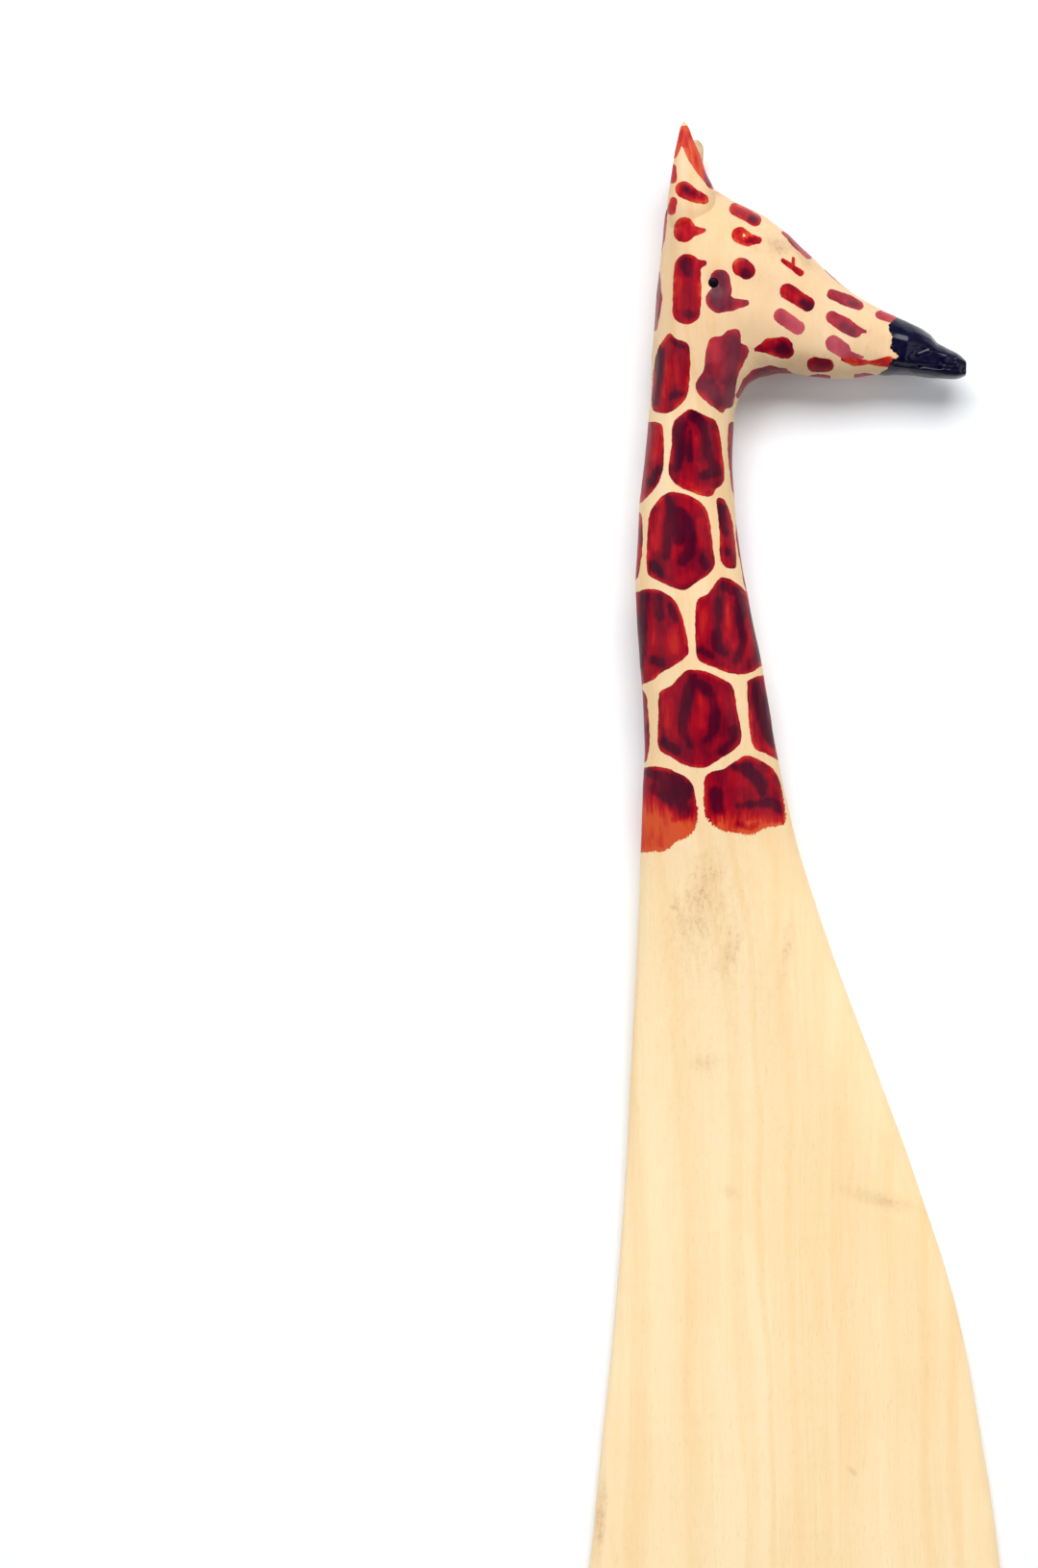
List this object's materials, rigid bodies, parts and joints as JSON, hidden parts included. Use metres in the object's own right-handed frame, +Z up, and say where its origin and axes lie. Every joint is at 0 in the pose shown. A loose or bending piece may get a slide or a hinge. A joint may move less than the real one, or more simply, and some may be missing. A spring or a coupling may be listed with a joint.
{
  "type": "giraffe-handled wooden serving paddle",
  "caption": "Flat wooden serving paddle with a rounded blade and a handle carved as a spotted giraffe's neck and head with upright ears and a black muzzle.",
  "frame": {"origin": "centre of the bottom face of the box, on the surface that the blade's flat back lies on", "axes": "+Y runs along the neck from the blade to the ears, +X is the way the muzzle points, +Z is up through the thickness towards the giraffe's right side"},
  "size_m": [0.072, 0.305, 0.02],
  "materials": {
    "bare_wood": "fine pale straight grain, thin satin varnish",
    "dyed_wood": "pale wood with brushed maroon dye patches under satin varnish",
    "black_lacquer": "thick glossy black paint over knife facets",
    "worn_ear": "pale greyish wood, worn",
    "eye_bead": "glossy black"
  },
  "bodies": {
    "root": {"blade": "bare_wood", "neck": "dyed_wood", "head": "dyed_wood", "muzzle": "black_lacquer", "right_ear": "dyed_wood", "left_ear": "worn_ear", "right_eye": "eye_bead", "left_eye": "eye_bead"}
  },
  "joints": []
}
